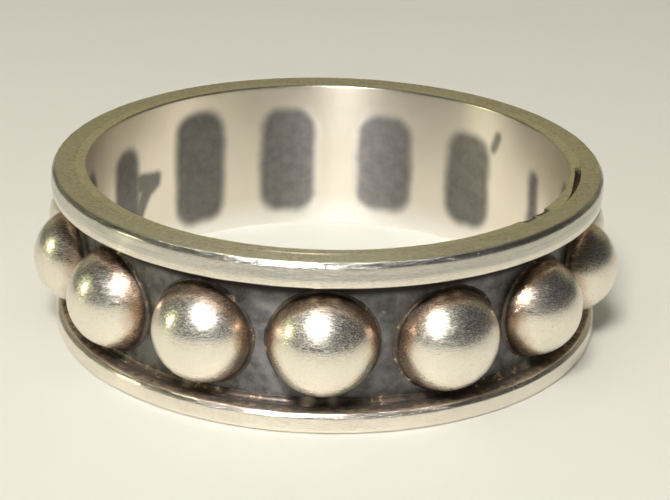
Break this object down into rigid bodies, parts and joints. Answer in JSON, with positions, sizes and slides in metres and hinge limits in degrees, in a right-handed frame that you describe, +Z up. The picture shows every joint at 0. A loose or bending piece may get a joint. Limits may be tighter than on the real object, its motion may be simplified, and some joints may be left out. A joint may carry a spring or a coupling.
{
  "type": "beaded finger ring",
  "caption": "Finger ring with a thin inner sleeve, flat rims and a row of polished half-ball beads soldered in the dark channel between them.",
  "frame": {"origin": "centre of the lower face, on the ring's axis, on the surface it stands on", "axes": "+Z up along the ring's axis, -Y the front, where the first bead faces"},
  "size_m": [0.023, 0.0234, 0.0066],
  "materials": {
    "rim": "worn bright sterling silver with fine scratches and nicked edges",
    "bead": "polished sterling silver with fine scratches, brown oxide low on the sides",
    "liner": "sterling silver, bright inside the bore with dark oxide in the recesses, black oxide outside",
    "solder": "silver solder with brown and black oxide"
  },
  "bodies": {
    "root": {"liner_sleeve": "liner", "upper_rim": "rim", "lower_rim": "rim", "upper_rim_solder": "solder", "lower_rim_solder": "solder", "bead_solder": "solder", "bead_01": "bead", "bead_02": "bead", "bead_03": "bead", "bead_04": "bead", "bead_05": "bead", "bead_06": "bead", "bead_07": "bead", "bead_08": "bead", "bead_09": "bead", "bead_10": "bead", "bead_11": "bead", "bead_12": "bead", "bead_13": "bead", "bead_14": "bead"}
  },
  "joints": []
}
